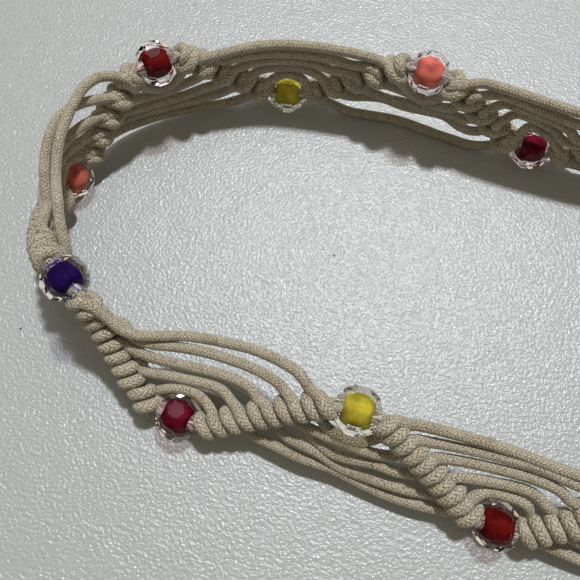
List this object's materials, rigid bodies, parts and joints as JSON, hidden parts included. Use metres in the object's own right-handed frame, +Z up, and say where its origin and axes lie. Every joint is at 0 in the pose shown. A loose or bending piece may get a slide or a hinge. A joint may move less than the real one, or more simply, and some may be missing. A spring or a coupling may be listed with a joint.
{
  "type": "beaded macrame belt",
  "caption": "Beaded macrame belt fastened in a loop and lying on its edge: cords knotted in zigzag rows, with a faceted clear bead with a coloured core at every turn.",
  "frame": {"origin": "middle of the belt's box in plan, on the surface that the belt rests on", "axes": "+X along the loop's long way towards the clasp, +Y towards the leg that stands upright, +Z up"},
  "size_m": [0.3322, 0.1026, 0.026],
  "materials": {
    "cord": "waxed cotton, round braided, beige, with a slight sheen",
    "clasp": "plain dull metal",
    "bead_clear": "clear faceted acrylic",
    "bead_crimson": "coloured core in clear faceted acrylic",
    "bead_pink": "coloured core in clear faceted acrylic",
    "bead_yellow": "coloured core in clear faceted acrylic",
    "bead_red": "coloured core in clear faceted acrylic",
    "bead_violet": "coloured core in clear faceted acrylic"
  },
  "bodies": {
    "root": {"holding_cord": "cord", "working_cord_1": "cord", "working_cord_2": "cord", "working_cord_3": "cord", "working_cord_4": "cord", "working_cord_5": "cord", "bead_01": "bead_crimson", "bead_02": "bead_pink", "bead_03": "bead_yellow", "bead_04": "bead_red", "bead_05": "bead_pink", "bead_06": "bead_violet", "bead_07": "bead_crimson", "bead_08": "bead_yellow", "bead_09": "bead_red", "bead_10": "bead_pink", "bead_11": "bead_violet", "bead_12": "bead_yellow", "bead_13": "bead_crimson", "bead_14": "bead_red", "bead_15": "bead_yellow", "bead_16": "bead_violet", "bead_17": "bead_pink", "bead_18": "bead_violet", "bead_19": "bead_yellow", "bead_20": "bead_crimson", "bead_21": "bead_red", "bead_22": "bead_yellow", "clasp": "clasp"}
  },
  "joints": []
}
